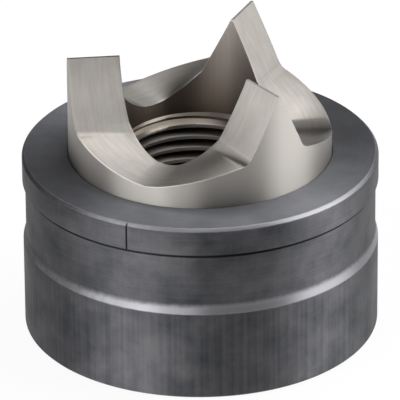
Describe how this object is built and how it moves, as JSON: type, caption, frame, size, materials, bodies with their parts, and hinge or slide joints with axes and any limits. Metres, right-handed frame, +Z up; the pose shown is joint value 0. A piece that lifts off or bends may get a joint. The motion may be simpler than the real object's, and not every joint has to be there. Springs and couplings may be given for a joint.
{
  "type": "knockout punch",
  "caption": "Knockout punch with chisel tips and a threaded bore, standing tips up in its cup-shaped die; a draw stud pulls the pair together to cut a round hole in sheet metal.",
  "frame": {"origin": "centre of the die's underside, on the common axis", "axes": "+Z up the common axis, from the die's underside to the punch's tips; the die's centring mark faces -Y and one tip points to +Y"},
  "size_m": [0.044, 0.044, 0.0362],
  "materials": {
    "punch_steel": "ground and satin nickel-bright tool steel",
    "die_black_oxide": "turned tool steel, black oxide"
  },
  "bodies": {
    "die": {"die": "die_black_oxide"},
    "punch": {"punch": "punch_steel"}
  },
  "joints": [
    {"name": "punch_slide", "type": "slide", "parent": "die", "child": "punch", "axis": [0, 0, 1], "range_m": [0, 0.0165]}
  ]
}
